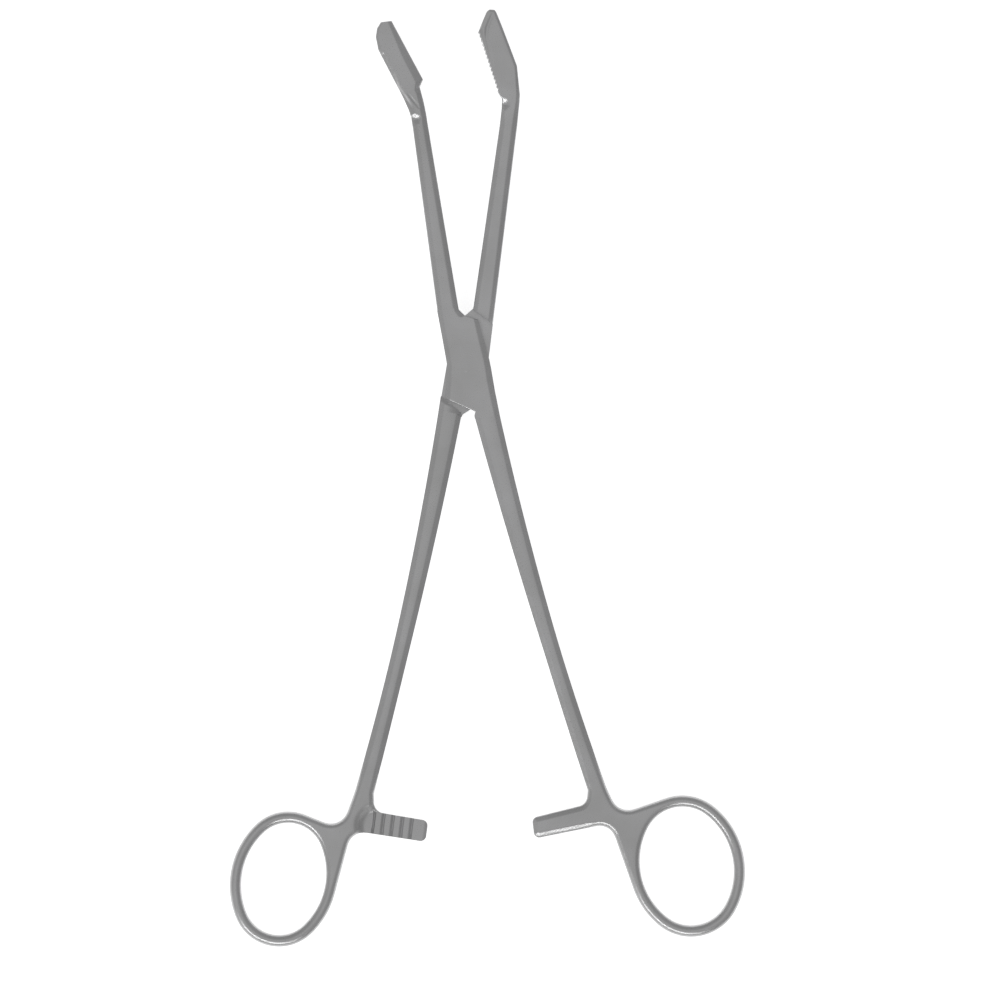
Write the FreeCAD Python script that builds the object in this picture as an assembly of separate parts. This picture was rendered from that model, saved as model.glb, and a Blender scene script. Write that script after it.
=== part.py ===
import FreeCAD, Part
import math
import os

# Long ring-handled forceps that carry small spring clamps: two crossed forgings of stainless steel
# joined by a box lock.  Each half is one piece from jaw tip to finger ring, and the pin that holds
# them is ground flush.  Millimetres, +Z up from the table, +Y towards the jaws, origin on the pivot
# axis in the underside of the lock.
# Both halves are drawn with their shanks side by side, a degree past closed, and then each is
# turned back by half of the drawn angle to lie open.

# Opening, in degrees between the two halves
open_angle = 14.0          # from the drawn pose to the resting one
spread_angle = 6.0         # from rest until the tongue meets the end of its window

# Box lock
lock_thickness = 7.0
plate_thickness = 2.25     # each of the two cheeks of the box
lock_play = 0.04           # between the tongue and each cheek
lock_up = 14.7             # pivot to the crotch between the upper shanks
lock_down = 13.4           # pivot to the crotch between the lower shanks
crotch_run = 1.2           # from a crotch to where the shanks stand free
cheek_top_x = 1.2          # corner of the cheek in the upper crotch
cheek_side_x = 5.0         # corner of the cheek above the male half's recess
cheek_slope = 30.0         # degrees of the cheek's upper end across the male half
foot_slope = 31.0          # degrees of the cheek's lower end
waist_left = 5.6           # the lock's sides at the pivot
waist_right = 6.5
cheek_foot_x = 7.2         # lower corner of the cheek, left of the axis
cheek_bevel = 1.3
shoulder_gap = 0.35        # cheek to the shoulders of the recess, shanks side by side
shoulder_slope = 32.0      # degrees of the recess's lower shoulder
tongue_half = 5.3          # pivot to each side of the tongue
tongue_slant = 23.7        # degrees of the tongue across the lock
tongue_outer = 5.7         # its lower left side
window_gap = 0.25          # tongue to the walls of the window at either end of its swing
shank_gap = 0.2            # between the shanks beside the lock as drawn
upper_parting = -0.3       # where the upper shanks part, right of the axis
lower_parting = 0.25       # where the lower ones do
pin_radius = 1.9
pin_play = 0.04            # radial, in the tongue

# Upper shanks
neck_reach = 70.0          # pivot to the neck below the jaws
box_neck_width = 4.4
box_neck_offset = 4.9      # centre of the neck from the instrument's axis
tongue_neck_width = 5.0
tongue_neck_offset = 3.4
upper_root_width = 6.1
neck_thickness = 4.6
shank_bevel = 1.5          # width of the ground bevels in plan
bevel_drop = 1.3           # their depth

# Ratchet bars
bar_reach = 132.8          # pivot to the bars' centre line
bar_height = 6.0           # along the instrument
box_tip_x = 2.6            # ends of the bars, right of the axis as drawn
tongue_tip_x = 4.8
box_bar_rise = 1.9         # each bar climbs this far from its tip to its root
tongue_bar_rise = 0.7
tooth_pitch = 2.7
tooth_count = 5
tooth_depth = 1.0
tooth_engagement = 0.8     # height that the crests of the two bars share
tooth_land = 0.45          # flat crest of each tooth, as a share of the pitch
tip_ramp = 2.5             # length of the lead-in at each tip
tip_round = 1.6
bar_fillet = 3.0           # between the bar's upper side and the shank
flare_fillet = 4.5         # between its lower side and the web
bar_edge = 1.1             # radius round the edges of the bar and web
root_step = 0.8            # bar's root to the side of the shank's foot

# Lower shanks, which bow outwards to the rings
box_root_width = 7.1
tongue_root_width = 6.6
waist_width = 4.6
waist_reach = 0.65 * bar_reach
foot_width = 5.4
foot_rise = 8.8            # bars' centre line to the foot of each shank
foot_reach = bar_reach - foot_rise
foot_thickness = 5.0
box_lean = 6.8             # degrees that each lower shank leans out where it leaves the lock
tongue_lean = 3.1
bow_radius = 1180.0

# Finger rings, ovals that stand upright as drawn
ring_thickness = 4.8
ring_band = 3.2
inner_crown = 1.2          # rise of the band's rounded inner face
outer_crown = 1.0
ring_end = 0.42            # radius of each oval's ends, as a share of its width
ring_tilt = 5.0            # degrees that the top of each oval leans to the instrument's axis
box_ring_width = 26.4      # inside
box_ring_height = 34.0
box_ring_x = 44.6
box_ring_drop = 16.0       # bars' centre line to the middle of the ring
box_web_drop = 20.2        # and to where the web has run out along it
tongue_ring_width = 23.8
tongue_ring_height = 32.2
tongue_ring_x = 33.9
tongue_ring_drop = 18.4
tongue_web_drop = 20.7
box_web_flare = 3.7        # the web stands this far out from the ring at the bar
tongue_web_flare = 2.4
web_sink = 1.0             # how deep in the ring's band the web's edge runs out
crook_run = 2.5            # shank's outer side to the crook above the ring
crook_drop = 3.3           # top of the ring to the crook before it is rounded
crook_fillet = 5.0

# Jaws
box_jaw_lean = 21.2        # degrees that each gripping face leans from the axis as drawn
box_heel_x = -2.5
box_heel_y = 82.0
tongue_jaw_lean = 25.3
tongue_heel_x = -0.7
tongue_heel_y = 77.8
jaw_length = 18.3          # of each gripping face
jaw_depth = 7.4            # gripping face to the back of the jaw
jaw_thickness = 5.0
jaw_edge = 0.8             # bevel round the jaws' plain edges
box_heel_step = 1.8        # the faces stand this far proud of the shanks
box_heel_run = 1.3
tongue_heel_step = 0.6
tongue_heel_run = 1.4
serration_pitch = 1.25
serration_depth = 0.42
serration_border = 0.4     # plain margin round the box jaw's serrations
box_crown_run = 1.3        # how far the crown of each jaw stands beyond its gripping face
tongue_crown_run = 5.2
tongue_back_run = 4.2
heel_bevel = 1.85          # bevel in front of the box jaw's face at the heel
tip_bevel = 0.9            # and at its tip
tongue_tip_bevel = 1.5     # bevel in front of the male jaw's face, which runs out at mid length
back_bevel = 0.6
flute_radius = 3.0         # scooped groove in the box jaw
flute_depth = 0.9
dish_radius = 13.0         # shallow hollow in the male jaw
dish_depth = 0.4

middle = lock_thickness / 2
reach_over = 3 * lock_up   # longer than any cut in the lock needs to be
quarter_turn = 90


def vec(x, y, z=0.0):
    return FreeCAD.Vector(x, y, z)


def polar(radius, degrees):
    angle = math.radians(degrees)
    return vec(radius * math.cos(angle), radius * math.sin(angle))


def prism(points, low, high):
    """Straight-sided solid on a plan outline of corners."""
    corners = [vec(p[0], p[1], low) for p in points]
    face = Part.Face(Part.makePolygon(corners + corners[:1]))
    return face.extrude(vec(0, 0, high - low))


def bevelled_section(y, centre, width, thickness):
    """Eight-sided cross-section of a shank, in the plane across it at y."""
    half = width / 2
    top = thickness / 2
    side = half - min(shank_bevel, 0.36 * width)
    edge = top - min(bevel_drop, 0.32 * thickness)
    corners = [(half, edge), (side, top), (-side, top), (-half, edge),
               (-half, -edge), (-side, -top), (side, -top), (half, -edge)]
    points = [vec(centre + x, y, middle + z) for x, z in corners]
    return Part.makePolygon(points + points[:1])


def upper_shank(side, neck_offset, neck_width):
    """Tapers from the lock to the neck; side is -1 left of the axis and +1 right of it."""
    start = lock_up + crotch_run
    root_centre = upper_parting + side * (shank_gap + upper_root_width) / 2
    sections = []
    for share in (0.0, 0.25, 0.6, 1.0):
        y = start + share * (neck_reach - start)
        centre = root_centre + share * (side * neck_offset - root_centre)
        width = upper_root_width + share * (neck_width - upper_root_width)
        thickness = lock_thickness + share ** 0.5 * (neck_thickness - lock_thickness)
        sections.append(bevelled_section(y, centre, width, thickness))
    return Part.makeLoft(sections, True, False)


def lower_centre(side, reach):
    """Distance of a bowed shank's centre from the axis, on its own side, at a reach below the
    pivot; side is 1 for the box half, on the right, and -1 for the tongue half."""
    run = reach - lock_down - crotch_run
    root = side * lower_parting + (shank_gap + root_width(side)) / 2
    lean = box_lean if side > 0 else tongue_lean
    return root + run * math.tan(math.radians(lean)) + run ** 2 / (2 * bow_radius)


def root_width(side):
    return box_root_width if side > 0 else tongue_root_width


def lower_width(side, reach):
    """Narrows to the waist and widens again to the foot, where the ring and bar branch off."""
    if reach < waist_reach:
        share = (waist_reach - reach) / (waist_reach - lock_down - crotch_run)
        return waist_width + (root_width(side) - waist_width) * share ** 1.4
    share = (reach - waist_reach) / (foot_reach - waist_reach)
    return waist_width + (foot_width - waist_width) * share ** 2


def lower_shank(side):
    """From the lock down to the foot, drawn on the right of the axis."""
    sections = []
    start = lock_down + crotch_run
    for share in (0.0, 0.12, 0.3, 0.5, 0.75, 1.0):
        reach = start + share * (foot_reach - start)
        thickness = lock_thickness + share ** 0.5 * (foot_thickness - lock_thickness)
        sections.append(bevelled_section(-reach, lower_centre(side, reach),
                                         lower_width(side, reach), thickness))
    return Part.makeLoft(sections, True, False)


def oval_arcs(x, y, width, height, end_radius):
    """Centre, radius and the two bearings of each of the four tangent arcs of an oval.

    The oval's top leans to the instrument's axis by ring_tilt.
    """
    a = width / 2
    b = height / 2
    side_radius = (a ** 2 + (b - end_radius) ** 2 - end_radius ** 2) / (2 * (a - end_radius))
    lean = math.degrees(math.atan2(b - end_radius, side_radius - a))
    arcs = []
    for turn in (ring_tilt, ring_tilt + 180):
        side = vec(x, y) + polar(a - side_radius, turn)
        end = vec(x, y) + polar(b - end_radius, turn + 90)
        arcs.append((side, side_radius, turn - lean, turn + lean))
        arcs.append((end, end_radius, turn + lean, turn + 180 - lean))
    return arcs


def ring(x, y, width, height):
    """Band whose inner and outer faces are crowned, turned round each arc of the opening."""
    tall = ring_thickness / 2
    parts = []
    for centre, radius, start, stop in oval_arcs(x, y, width, height, ring_end * width):
        inner = radius + inner_crown
        outer = radius + ring_band - outer_crown
        low = (vec(inner, 0, middle - tall), vec(outer, 0, middle - tall))
        high = (vec(outer, 0, middle + tall), vec(inner, 0, middle + tall))
        edges = [Part.LineSegment(*low), Part.Arc(low[1], vec(radius + ring_band, 0, middle), high[0]),
                 Part.LineSegment(*high), Part.Arc(high[1], vec(radius, 0, middle), low[0])]
        face = Part.Face(Part.Wire([edge.toShape() for edge in edges]))
        turned = face.revolve(vec(0, 0), vec(0, 0, 1), stop - start)
        turned.Placement = FreeCAD.Placement(centre, FreeCAD.Rotation(vec(0, 0, 1), start))
        parts.append(turned)
    return parts[0].multiFuse(parts[1:])


def upright_edge(solid, x, y):
    """The upright edge of a plan corner, found by its place."""
    def away(edge):
        a = edge.Vertexes[0].Point
        b = edge.Vertexes[-1].Point
        if math.hypot(a.x - b.x, a.y - b.y) > 0.01 or abs(a.z - b.z) < 0.5:
            return reach_over
        return math.hypot(a.x - x, a.y - y)
    return min(solid.Edges, key=away)


def level_edges(solid, levels, wanted):
    """Edges that lie flat at one of the levels, and whose middle is in the wanted place."""
    found = []
    for edge in solid.Edges:
        box = edge.BoundBox
        halfway = edge.valueAt((edge.FirstParameter + edge.LastParameter) / 2)
        at_level = any(abs(box.ZMin - z) < 0.01 and box.ZLength < 0.01 for z in levels)
        if at_level and wanted(halfway):
            found.append(edge)
    return found


def web(side, ring_x, ring_reach, ring_width, ring_height, web_reach, tip_x):
    """Flat from the shank's foot to the ring's band, and the bar that runs out across the axis."""
    low = middle - ring_thickness / 2
    high = middle + ring_thickness / 2
    foot = lower_centre(side, foot_reach)
    half = foot_width / 2
    bar_top = -bar_reach + bar_height / 2
    bar_low = -bar_reach - bar_height / 2
    rise = box_bar_rise if side > 0 else tongue_bar_rise
    ring_top = -ring_reach + ring_height / 2 + ring_band
    ring_near = ring_x - ring_width / 2 - ring_band
    crook = (foot + half + crook_run, ring_top - crook_drop)
    root = (bar_root(side), bar_top + rise)
    flare = (ring_near - (box_web_flare if side > 0 else tongue_web_flare), bar_low + 0.9 * rise)
    plate = prism([(foot - half, -foot_reach), (foot + half, -foot_reach), crook,
                   (ring_x - 0.15 * ring_width, ring_top - 0.3 * ring_band), (ring_x, -ring_reach),
                   (ring_near + web_sink, -web_reach), flare, (tip_x, bar_low), (tip_x, bar_top), root],
                  low, high)
    for corner, radius in ((crook, crook_fillet), (flare, flare_fillet), (root, bar_fillet),
                           ((tip_x, bar_low), tip_round), ((tip_x, bar_top), tip_round)):
        plate = plate.makeFillet(radius, [upright_edge(plate, *corner)])
    rims = level_edges(plate, (low, high), lambda p: p.x < ring_x - 0.16 * ring_width
                       and -web_reach + 0.5 < p.y < -foot_reach - 0.05)
    rims = [edge for edge in rims if not touches(edge, ring_x, -ring_reach)]
    plate = plate.makeFillet(bar_edge, rims)
    inside = []
    for centre, radius, start, stop in oval_arcs(ring_x, -ring_reach, ring_width, ring_height,
                                                 ring_end * ring_width):
        points = [centre + polar(radius + ring_band / 2, start + step * (stop - start))
                  for step in (0, 0.5, 1)]
        inside.append(Part.Arc(*[p + vec(0, 0, low) for p in points]).toShape())
    return plate.cut(Part.Face(Part.Wire(inside)).extrude(vec(0, 0, high - low)))


def touches(edge, x, y):
    """True where an edge ends at a plan corner."""
    return any(math.hypot(v.Point.x - x, v.Point.y - y) < 0.01 for v in edge.Vertexes)


def bar_root(side):
    """Where the ratchet bar leaves the foot of its shank."""
    return lower_centre(side, foot_reach) - foot_width / 2 - root_step


def tooth_space(root_x, tip_x, teeth_up):
    """What is milled off a bar on the side that faces the other one, teeth left standing.

    They climb towards the tip and drop steeply on the side that holds; a ramp at the tip leads
    one bar over the other.
    """
    up = 1 if teeth_up else -1
    crest = up * tooth_engagement / 2
    root = crest - up * tooth_depth
    over = up * ring_thickness
    profile = [(root_x, over), (tip_x - 1.0, over), (tip_x - 1.0, root), (tip_x, root),
               (tip_x + tip_ramp, crest)]
    for tooth in range(tooth_count):
        start = tip_x + tip_ramp + tooth * tooth_pitch
        land = tooth_land * tooth_pitch
        profile.append((start + land, crest))
        profile.append((start + land + 0.1 * tooth_pitch, root))
        profile.append((start + land + 0.25 * tooth_pitch, root))
        profile.append((start + tooth_pitch, crest))
    profile.append((root_x, crest))
    corners = [vec(x, -bar_reach - 1.5 * bar_height, middle + z) for x, z in profile]
    return Part.Face(Part.makePolygon(corners + corners[:1])).extrude(vec(0, 3 * bar_height, 0))


def handle(side, ring_x, ring_reach, ring_width, ring_height, web_reach, tip_x):
    """Finger ring, web and ratchet bar in one, drawn right of the axis."""
    plate = web(side, ring_x, ring_reach, ring_width, ring_height, web_reach, tip_x)
    plate = plate.cut(tooth_space(bar_root(side), tip_x, side < 0))
    return ring(ring_x, -ring_reach, ring_width, ring_height).fuse(plate)


def jaw_frame(heel_x, heel_y, lean, side):
    """Point at a distance along the gripping face from its heel, and at a depth behind it."""
    angle = math.radians(lean)
    along = vec(-math.sin(angle), math.cos(angle))
    behind = vec(math.cos(angle), math.sin(angle)) * side

    def place(distance, depth, z=0.0):
        return vec(heel_x, heel_y) + along * distance + behind * depth + vec(0, 0, z)
    return place


def curved_outline(parts, low, high):
    """Solid on a plan outline of lines (two points) and arcs (three points)."""
    edges = []
    for part in parts:
        points = [vec(p.x, p.y, low) for p in part]
        curve = Part.Arc(*points) if len(points) == 3 else Part.LineSegment(*points)
        edges.append(curve.toShape())
    return Part.Face(Part.Wire(edges)).extrude(vec(0, 0, high - low))


def edge_bevel(place, start, end, start_size, end_size, up):
    """Cut that takes the corner off a gripping face, from one size to another along it."""
    level = middle + up * jaw_thickness / 2
    sections = []
    for distance, size in ((start, start_size), (end, end_size)):
        points = [place(distance, -size, level - up * 2.2 * size),
                  place(distance, -size, level + up * size), place(distance, size, level)]
        sections.append(Part.makePolygon(points + points[:1]))
    return Part.makeLoft(sections, True, True)


def scoop(start, end, radius, depth, up):
    """Round-ended groove sunk to a depth in a jaw's broad face, by a cutter turned about its run."""
    run = end - start
    bow = radius * math.sqrt(0.5)
    back, near = vec(-radius, 0), vec(0, 0, up * radius)
    far, front = vec(run.Length, 0, up * radius), vec(run.Length + radius, 0)
    edges = [Part.Arc(back, vec(-bow, 0, up * bow), near), Part.LineSegment(near, far),
             Part.Arc(far, vec(run.Length + bow, 0, up * bow), front), Part.LineSegment(front, back)]
    face = Part.Face(Part.Wire([edge.toShape() for edge in edges]))
    cutter = face.revolve(vec(0, 0), vec(1, 0), 360)
    lift = vec(0, 0, middle + up * (jaw_thickness / 2 + radius - depth))
    cutter.Placement = FreeCAD.Placement(start + lift, FreeCAD.Rotation(vec(1, 0), run))
    return cutter


def serrations(place, first, length, low, high):
    """V grooves across a gripping face and along it, which leave rows of points."""
    cuts = []
    lip = 0.05
    half = 0.42 * serration_pitch
    count = int(length / serration_pitch)
    margin = (length - (count - 1) * serration_pitch) / 2
    for index in range(count):
        at = first + margin + index * serration_pitch
        cuts.append(prism([place(at - half, -lip), place(at, serration_depth),
                           place(at + half, -lip)], low, high))
    rows = int((high - low) / serration_pitch)
    run = place(first + length, 0) - place(first, 0)
    for index in range(1, rows):
        z = low + index * (high - low) / rows
        points = [place(first, -lip, z - half), place(first, serration_depth, z),
                  place(first, -lip, z + half)]
        cuts.append(Part.Face(Part.makePolygon(points + points[:1])).extrude(run))
    return cuts


def wedge(vertex, first, second):
    """Plan outline of everything between two directions from a vertex, in degrees."""
    halfway = (first + second) / 2
    return [vertex, vertex + polar(reach_over, first), vertex + polar(1.5 * reach_over, halfway),
            vertex + polar(reach_over, second)]


def cheek_outline():
    """Plan of the box: upper crotch, across the male half, down its right side and back."""
    side_y = lock_up - (cheek_side_x - cheek_top_x) * math.tan(math.radians(cheek_slope))
    foot_x = lower_parting + shank_gap / 2 + 0.4
    foot_y = -lock_down + (foot_x + cheek_foot_x) * math.tan(math.radians(foot_slope))
    top = lock_up + crotch_run
    bottom = -lock_down - crotch_run
    inner_top = upper_parting - shank_gap / 2
    inner_bottom = lower_parting + shank_gap / 2
    return [(inner_top, top), (cheek_top_x, lock_up), (cheek_side_x, side_y),
            (waist_right, 0.1 * lock_up), (waist_right + 0.2, -0.15 * lock_down),
            (inner_bottom + box_root_width, bottom), (inner_bottom, bottom),
            (foot_x, -lock_down), (-cheek_foot_x, foot_y), (-waist_left, 0.0),
            (inner_top - upper_root_width, top)]


def box_lock():
    """Two cheeks with the window between them that the tongue swings in."""
    outline = cheek_outline()
    block = prism(outline, 0, lock_thickness)
    edges = level_edges(block, (0, lock_thickness), lambda p: on_sides(p, outline))
    block = block.makeChamfer(cheek_bevel, edges)
    swing = open_angle + spread_angle
    square = 2 * quarter_turn - tongue_slant
    corner = polar((tongue_half + window_gap) / math.cos(math.radians(swing / 2)), square - swing / 2)
    wall = wedge(corner, square - quarter_turn, square - swing + quarter_turn)
    low = plate_thickness
    high = lock_thickness - plate_thickness
    reach = lock_up + 2 * crotch_run
    window = prism([(-reach, -reach), (reach, -reach), (reach, reach), (-reach, reach)], low, high)
    beside = upper_parting - shank_gap / 2
    left = prism([(-reach, -reach), (beside, -reach), (beside, reach), (-reach, reach)], low, high)
    beside = lower_parting + shank_gap / 2
    right = prism([(beside, -reach), (reach, -reach), (reach, reach), (beside, reach)], low, high)
    upper_wall = prism(wall, low, high).common(left)
    lower_wall = prism([-p for p in wall], low, high).common(right)
    window = window.cut([upper_wall, lower_wall])
    hole = Part.makeCylinder(pin_radius, lock_thickness)
    return block.cut([window, hole])


def on_sides(point, outline):
    """True beside the lock's long sides, false at its ends and at the crotches."""
    return abs(point.x) > 5.0 and abs(point.y) < outline[0][1] - 0.2


def side_y(x, sign):
    """Where a side of the tongue, left for +1 and right for -1, crosses a distance."""
    angle = math.radians(tongue_slant)
    return (sign * tongue_half + x * math.cos(angle)) / math.sin(angle)


def tongue_lock():
    """Tongue between two recesses, whose shoulders leave the cheeks room to swing."""
    top = lock_up + crotch_run
    bottom = -lock_down - crotch_run
    inner_top = upper_parting + shank_gap / 2
    inner_bottom = lower_parting - shank_gap / 2
    outer = inner_top + upper_root_width
    block = prism([(inner_top, top), (inner_top, side_y(inner_top, 1)),
                   (-tongue_outer, side_y(-tongue_outer, 1)),
                   (inner_bottom - tongue_root_width, bottom), (inner_bottom, bottom),
                   (inner_bottom, side_y(inner_bottom, -1)), (outer, side_y(outer, -1)),
                   (outer, top)], 0, lock_thickness)
    slope = math.radians(cheek_slope)
    upper = cheek_top_x * math.sin(slope) + lock_up * math.cos(slope) + shoulder_gap
    foot = cheek_outline()[8]
    lower = math.hypot(foot[0], foot[1]) + shoulder_gap
    upper_square = quarter_turn - cheek_slope
    lower_square = 3 * quarter_turn - shoulder_slope
    a = polar(upper, upper_square)
    b = polar(lower, lower_square)
    plan = [a + polar(reach_over, upper_square + quarter_turn),
            a + polar(reach_over, upper_square - quarter_turn),
            b + polar(reach_over, lower_square + quarter_turn),
            b + polar(reach_over, lower_square - quarter_turn)]
    half = (lock_thickness / 2 - plate_thickness) - lock_play
    block = block.cut([prism(plan, middle + half, lock_thickness + 1), prism(plan, -1, middle - half)])
    bore = Part.makeCylinder(pin_radius + pin_play, lock_thickness)
    return block.cut(bore)


def box_jaw():
    place = jaw_frame(box_heel_x, box_heel_y, box_jaw_lean, -1)
    low = middle - jaw_thickness / 2
    high = middle + jaw_thickness / 2
    neck_in = vec(-box_neck_offset + box_neck_width / 2, neck_reach - 1.0)
    neck_out = vec(-box_neck_offset - box_neck_width / 2, neck_reach - 1.0)
    heel = place(0, 0)
    under = place(-box_heel_run, box_heel_step)
    tip = place(jaw_length, 0)
    crown = place(jaw_length + box_crown_run, 0.43 * jaw_depth)
    cheek = place(jaw_length - 0.64 * jaw_depth, 0.98 * jaw_depth)
    back = place(-0.12 * jaw_depth, jaw_depth)
    jaw = curved_outline([(neck_in, under), (under, heel), (heel, tip), (tip, crown),
                          (crown, place(jaw_length - 0.13 * jaw_depth, 0.7 * jaw_depth), cheek), (cheek, back),
                          (back, place(-0.74 * jaw_depth, 1.04 * jaw_depth), neck_out),
                          (neck_out, neck_in)], low, high)
    plain = level_edges(jaw, (low, high), lambda p: behind(p, place) > 0.2 * jaw_depth)
    jaw = jaw.makeChamfer(jaw_edge, plain)
    border = serration_border
    cuts = serrations(place, border, jaw_length - 2 * border, low + back_bevel + border,
                      high - heel_bevel - border)
    cuts.append(edge_bevel(place, -2.0, jaw_length + 2.0, heel_bevel, tip_bevel, 1))
    cuts.append(edge_bevel(place, -2.0, jaw_length + 2.0, back_bevel, back_bevel, -1))
    flute_start = place(-0.62 * jaw_depth, 0.78 * jaw_depth)
    flute_end = place(0.6 * jaw_length, 0.66 * jaw_depth)
    for up in (1, -1):
        cuts.append(scoop(flute_start, flute_end, flute_radius, flute_depth, up))
    return jaw.cut(cuts)


def behind(point, place):
    """Depth of a point behind the gripping face; the neck's end counts as none."""
    start = place(0, 0)
    normal = place(0, 1) - start
    return (point - start).dot(vec(normal.x, normal.y)) if point.y > neck_reach - 0.9 else 0.0


def tongue_jaw():
    place = jaw_frame(tongue_heel_x, tongue_heel_y, tongue_jaw_lean, 1)
    low = middle - jaw_thickness / 2
    high = middle + jaw_thickness / 2
    neck_in = vec(tongue_neck_offset - tongue_neck_width / 2, neck_reach - 1.0)
    neck_out = vec(tongue_neck_offset + tongue_neck_width / 2, neck_reach - 1.0)
    heel = place(0, 0)
    under = place(-tongue_heel_run, tongue_heel_step)
    tip = place(jaw_length, 0)
    crown = place(jaw_length + tongue_crown_run, 0.62 * jaw_depth)
    back_tip = place(jaw_length + tongue_back_run, 0.91 * jaw_depth)
    back = place(0.79 * jaw_depth, 1.02 * jaw_depth)
    jaw = curved_outline([(neck_in, under), (under, heel), (heel, tip), (tip, crown),
                          (crown, back_tip), (back_tip, back),
                          (back, place(-0.27 * jaw_depth, 0.83 * jaw_depth), neck_out),
                          (neck_out, neck_in)], low, high)
    plain = level_edges(jaw, (low, high), lambda p: behind(p, place) > 0.6 * jaw_depth)
    jaw = jaw.makeChamfer(jaw_edge, plain)
    cuts = serrations(place, 0.0, jaw_length, low - 0.01, high + 0.01)
    cuts.append(edge_bevel(place, 0.45 * jaw_length, jaw_length + jaw_depth, 0.05, tongue_tip_bevel, 1))
    for up in (1, -1):
        cuts.append(scoop(place(0.2 * jaw_length, 0.5 * jaw_depth),
                          place(0.8 * jaw_length, 0.56 * jaw_depth), dish_radius, dish_depth, up))
    return jaw.cut(cuts)


def mirrored(shape):
    return shape.mirror(vec(0, 0, 0), vec(1, 0, 0))


def box_half():
    """The half with the slotted box: upper left jaw to lower right ring."""
    pieces = [upper_shank(-1, box_neck_offset, box_neck_width), box_jaw(), lower_shank(1),
              handle(1, box_ring_x, bar_reach + box_ring_drop, box_ring_width, box_ring_height,
                     bar_reach + box_web_drop, box_tip_x)]
    half = box_lock().fuse(pieces)
    half.rotate(vec(0, 0, 0), vec(0, 0, 1), open_angle / 2)
    return half


def tongue_half_piece():
    """The half whose tongue passes through the box: upper right jaw to lower left ring."""
    lower = [lower_shank(-1), handle(-1, tongue_ring_x, bar_reach + tongue_ring_drop, tongue_ring_width,
                                     tongue_ring_height, bar_reach + tongue_web_drop, -tongue_tip_x)]
    pieces = [upper_shank(1, tongue_neck_offset, tongue_neck_width), tongue_jaw()]
    pieces += [mirrored(piece) for piece in lower]
    half = tongue_lock().fuse(pieces)
    half.rotate(vec(0, 0, 0), vec(0, 0, 1), -open_angle / 2)
    return half


def lock_pin():
    return Part.makeCylinder(pin_radius, lock_thickness)


os.makedirs("parts", exist_ok=True)
for name, shape in (("box_half", box_half()), ("tongue_half", tongue_half_piece()),
                    ("lock_pin", lock_pin())):
    shape.exportStep("parts/" + name + ".step")
    print(name, shape.isValid(), len(shape.Solids), round(shape.Volume, 1), shape.BoundBox)
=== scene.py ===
import math

import bpy
import mathutils.geometry
import numpy as np
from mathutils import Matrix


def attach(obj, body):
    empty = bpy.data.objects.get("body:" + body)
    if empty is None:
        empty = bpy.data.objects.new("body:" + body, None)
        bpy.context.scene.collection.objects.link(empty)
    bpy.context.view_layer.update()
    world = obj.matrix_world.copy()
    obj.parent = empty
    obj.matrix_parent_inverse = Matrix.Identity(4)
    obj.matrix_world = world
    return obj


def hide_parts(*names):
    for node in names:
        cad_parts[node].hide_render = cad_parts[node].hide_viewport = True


# Long ring-handled forceps for placing small spring clamps, lying open on a white table.  Two
# crossed forgings of stainless steel, ground and tumbled to a satin grey, meet in a box lock.
# Both halves are worked out in millimetres with their shanks side by side, and each is then
# turned about the pin, by half of the opening, into the place where it lies.
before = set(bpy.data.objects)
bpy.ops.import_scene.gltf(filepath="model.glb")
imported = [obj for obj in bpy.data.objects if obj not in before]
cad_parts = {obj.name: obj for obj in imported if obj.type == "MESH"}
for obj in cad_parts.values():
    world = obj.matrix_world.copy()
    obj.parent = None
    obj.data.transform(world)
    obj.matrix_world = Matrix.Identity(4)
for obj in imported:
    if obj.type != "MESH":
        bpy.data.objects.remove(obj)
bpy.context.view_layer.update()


# Female jaw, the upper end of the box half: forged in one with its shank, bent off to the left,
# and ground flat on both sides.  Its gripping face has a broad bevel and is milled into rows of
# points that keep the spring clamp from slipping; a flute is scooped along the foot of its back.
def linear(code):
    """Scene-linear RGBA of an sRGB hex colour: a straight start, then a power of 2.4."""
    parts = np.array([int(code[i:i + 2], 16) for i in (0, 2, 4)]) / 255
    low = parts <= 0.04045
    return (*np.where(low, parts / 12.92, ((parts + 0.055) / 1.055) ** 2.4), 1.0)


def add_node(tree, kind, inputs=None, **settings):
    """Adds one node; inputs takes values or the output sockets to link from."""
    node = tree.nodes.new(kind)
    for key, value in settings.items():
        setattr(node, key, value)
    for key, value in (inputs or {}).items():
        if isinstance(value, bpy.types.NodeSocket):
            tree.links.new(value, node.inputs[key])
        else:
            node.inputs[key].default_value = value
    return node


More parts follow.
